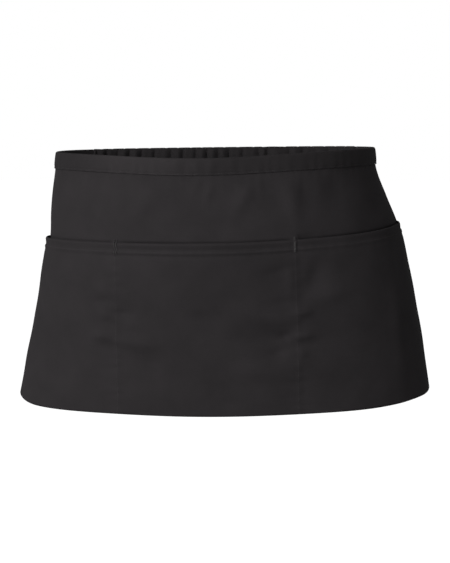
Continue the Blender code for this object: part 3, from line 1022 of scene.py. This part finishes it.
def level_row(across, down, stand):
    """A row of stitches across the cloth, on a face whose stand-off is given at each line."""
    points, outward = lay(across, down, stand)
    return points[0], outward[0]


def upright_row(across, rows, stand):
    """A row of stitches down one thread of the cloth."""
    line = np.array([across])
    down = slanted(rows, line)
    points, outward = lay(line, down, stand(line, down))
    return points[:, 0], outward[:, 0]


def inwards(row):
    points, outward = row
    return points, -outward


def on_pocket(line, down):
    return POCKET_SEAT + CLOTH / 2 + pocket_surface(line, down)


def on_skirt(line, down):
    return skirt_surface(line, down) + CLOTH / 2


def behind_skirt(line, down):
    return skirt_surface(line, down) - CLOTH / 2


def behind_hem(line, down):
    return skirt_surface(line, down) - HEM_LEAF - CLOTH / 2


def sew_everything():
    """The stitch rows: waistband, pocket mouth, dividers and side hems, one piece each."""
    band = np.arange(-BAND_END, BAND_END + ROW_STEP / 2, ROW_STEP)
    seam = np.full((1, len(band)), BAND_STITCH)
    stand = BAND_TURN + ROW_LIFT + band_surface(band, seam)
    front = level_row(band, seam, stand)
    back = inwards(level_row(band, seam, -stand))
    stitches("stitches_waistband", [sewn_row(*front), sewn_row(*back)])

    panel = np.arange(-HALF_WIDTH + ROW_STEP, HALF_WIDTH - ROW_STEP / 2, ROW_STEP)
    seam = slanted(np.array([MOUTH_STITCH]), panel)
    stitches("stitches_mouth", [sewn_row(*level_row(panel, seam, on_pocket(panel, seam)))])

    rows = np.arange(POCKET_DROP + ROW_INSET, APRON_DEPTH - ROW_INSET, ROW_STEP)
    above_hem = rows[rows < APRON_DEPTH - BOTTOM_HEM]
    dividers = []
    for divider in DIVIDERS:
        dividers.append(sewn_row(*upright_row(divider, rows, on_pocket)))
        dividers.append(sewn_row(*inwards(upright_row(divider, above_hem, behind_skirt))))
    stitches("stitches_dividers", dividers)

    above = np.arange(BAND_DEPTH, POCKET_DROP - ROW_STEP / 2, ROW_STEP)
    inside = np.arange(BAND_DEPTH, APRON_DEPTH - BOTTOM_HEM, ROW_STEP)
    sides = []
    for side in (-SIDE_STITCH, SIDE_STITCH):
        sides.append(sewn_row(*upright_row(side, above, on_skirt)))
        sides.append(sewn_row(*upright_row(side, rows, on_pocket)))
        sides.append(sewn_row(*inwards(upright_row(side, inside, behind_hem))))
    stitches("stitches_sides", sides)


# Bar tacks

TACK_PITCH = 0.00052
TACK_THREAD = 0.00042
TACK_LIFT = 0.00034

# The stitches' slope as a share of their pitch, how far they float over the panel, and the height
# over which they climb onto the mouth hem
TACK_SLOPE = 0.8
TACK_FLOAT = 0.0002
CLIMB_START = 0.0012
CLIMB_HEIGHT = 0.0018
ON_HEM = 0.001

# A bar tack: the places of its columns of stitches from the divider, and the width of a column
Tack = namedtuple("Tack", "name divider columns width node")
TACKS = (
    Tack("bar_tack_left_thread", DIVIDERS[0], (-0.0012, 0.0017), 0.0012, "bar_tack_left"),
    Tack("bar_tack_right_thread", DIVIDERS[1], (-0.0004,), 0.0028, "bar_tack_right"),
)


def bar_tack(tack):
    """Close satin stitches, in upright columns, from the panel over the mouth hem."""
    start = POCKET_DROP - TACK_ABOVE
    rows = np.arange(start, start + TACK_LENGTH, TACK_PITCH)
    made = []
    for column in tack.columns:
        line = tack.divider + column + np.array([-tack.width / 2, 0.0, tack.width / 2])
        down = slanted(rows, line)
        climb = np.clip((down - POCKET_DROP + CLIMB_START) / CLIMB_HEIGHT, 0, 1)
        panel = CLOTH / 2 + TACK_FLOAT
        hem = on_pocket(line, np.maximum(down, POCKET_DROP + ON_HEM))
        points, outward = lay(line, down, panel * (1 - climb) + hem * climb)
        slope = TACK_PITCH * TACK_SLOPE * np.array([0.0, 0.0, -1.0])
        made.append((points[:, 0] + slope, points[:, 2] - slope, outward[:, 1]))
    piece = stitches(tack.name, made, radius=TACK_THREAD, lift=TACK_LIFT)
    piece.data.materials[0] = TACKING
    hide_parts(tack.node)
    return piece


# Floor, light and camera

FLOOR_SIZE = 60.0
FLOOR_HEIGHT = -1.0
LIGHT_SIZE = 1.6
LIGHT_DISTANCE = 3.2
WORLD_LIGHT = 0.165

# Soft boxes: their directions in degrees, from the front towards the right and up, and powers
SoftBox = namedtuple("SoftBox", "name azimuth elevation power")
SOFT_BOXES = (
    SoftBox("key", -34.0, 17.0, 57.5),
    SoftBox("front", 5.0, 4.0, 19.5),
    SoftBox("side", -80.0, 10.0, 18.0),
    SoftBox("back", 180.0 + CAMERA_TURN, -16.0, 90.0),
)


def direction(azimuth, elevation):
    """A unit vector, from degrees away from the front towards the right, and degrees up."""
    turn, rise = math.radians(azimuth), math.radians(elevation)
    level = math.cos(rise)
    return Vector((math.sin(turn) * level, -math.cos(turn) * level, math.sin(rise)))


def floor():
    """A plain pale floor at the height it has below a wearer's waist."""
    bpy.ops.object.select_all(action="DESELECT")
    bpy.ops.mesh.primitive_plane_add(size=FLOOR_SIZE, location=(0.0, 0.0, FLOOR_HEIGHT))
    ground = bpy.context.object
    ground.name = "floor"
    material = new_material("pale_floor", {
        "Base Color": (0.93, 0.93, 0.93, 1.0), "Roughness": 0.9,
        "Emission Color": (1.0, 1.0, 1.0, 1.0), "Emission Strength": 0.9,
    })
    ground.data.materials.append(material)
    ground.visible_diffuse = False
    ground.visible_glossy = False


def soft_light(box):
    """A square soft box that faces the apron."""
    towards = direction(box.azimuth, box.elevation)
    data = bpy.data.lights.new(box.name, "AREA")
    data.shape = "SQUARE"
    data.size = LIGHT_SIZE
    data.energy = box.power
    light = bpy.data.objects.new(box.name, data)
    light.location = towards * LIGHT_DISTANCE
    light.rotation_mode = "QUATERNION"
    light.rotation_quaternion = towards.to_track_quat("Z", "Y")
    bpy.context.scene.collection.objects.link(light)


def studio():
    """White all round for the eye, a dimmer white as light, and the soft boxes.

    Three are in front, brightest from the left, and one is behind, so that the back can be seen.
    """
    world = bpy.data.worlds.new("studio")
    bpy.context.scene.world = world
    world.use_nodes = True
    nodes, links = world.node_tree.nodes, world.node_tree.links
    backdrop = nodes["Background"]
    backdrop.inputs["Color"].default_value = (1.0, 1.0, 1.0, 1.0)
    sight = nodes.new("ShaderNodeLightPath")
    strength = nodes.new("ShaderNodeMapRange")
    set_inputs(strength, {"To Min": WORLD_LIGHT, "To Max": 1.0})
    links.new(sight.outputs["Is Camera Ray"], strength.inputs["Value"])
    links.new(strength.outputs["Result"], backdrop.inputs["Strength"])
    for box in SOFT_BOXES:
        soft_light(box)
    bpy.context.scene.view_settings.view_transform = "Standard"


def camera():
    """The photograph's camera. Its sensor's larger side is the image's height."""
    back = direction(CAMERA_TURN, CAMERA_RISE)
    data = bpy.data.cameras.new("camera")
    data.sensor_width = SENSOR_MM
    data.lens = FOCAL_PIXELS / PHOTO_HEIGHT * SENSOR_MM
    eye = bpy.data.objects.new("camera", data)
    eye.location = CAMERA_TARGET + back * CAMERA_DISTANCE
    eye.rotation_mode = "QUATERNION"
    eye.rotation_quaternion = (-back).to_track_quat("-Z", "Y")
    bpy.context.scene.collection.objects.link(eye)
    bpy.context.scene.camera = eye


# The band's painted highlight, left of its middle, for the light that falls on it there
BAND_PAINTED_HIGHLIGHT = PaintedHighlight(-0.063, 0.110, 1.48)
TWILL = fabric("twill", (0.0290, 0.0259, 0.0276, 1.0), 0.00072, 0.86, 0.02)
BAND_TWILL = fabric("binding", (0.0246, 0.0220, 0.0233, 1.0), 0.00068, 0.84, 0.02, BAND_PAINTED_HIGHLIGHT)
# The casing's colour is darker than the binding's and the skirt's: painted shade for the inside of
# the gathered back band
SHADED_CASING_TWILL = fabric("casing", (0.0215, 0.0193, 0.0205, 1.0), 0.00068, 0.86, 0.02)
SEWING = sewing_thread("thread", (0.030, 0.027, 0.029, 1.0))
# The bar tacks' thread is lighter than the seams': painted sheen of the close satin stitches
TACKING = sewing_thread("tack_thread", (0.042, 0.039, 0.040, 1.0))
STITCH_SHAPE = stitch_shape()

camera()
studio()
floor()
skirt()
pocket()
waistband()
back_band()
sew_everything()
for each_tack in TACKS:
    bar_tack(each_tack)
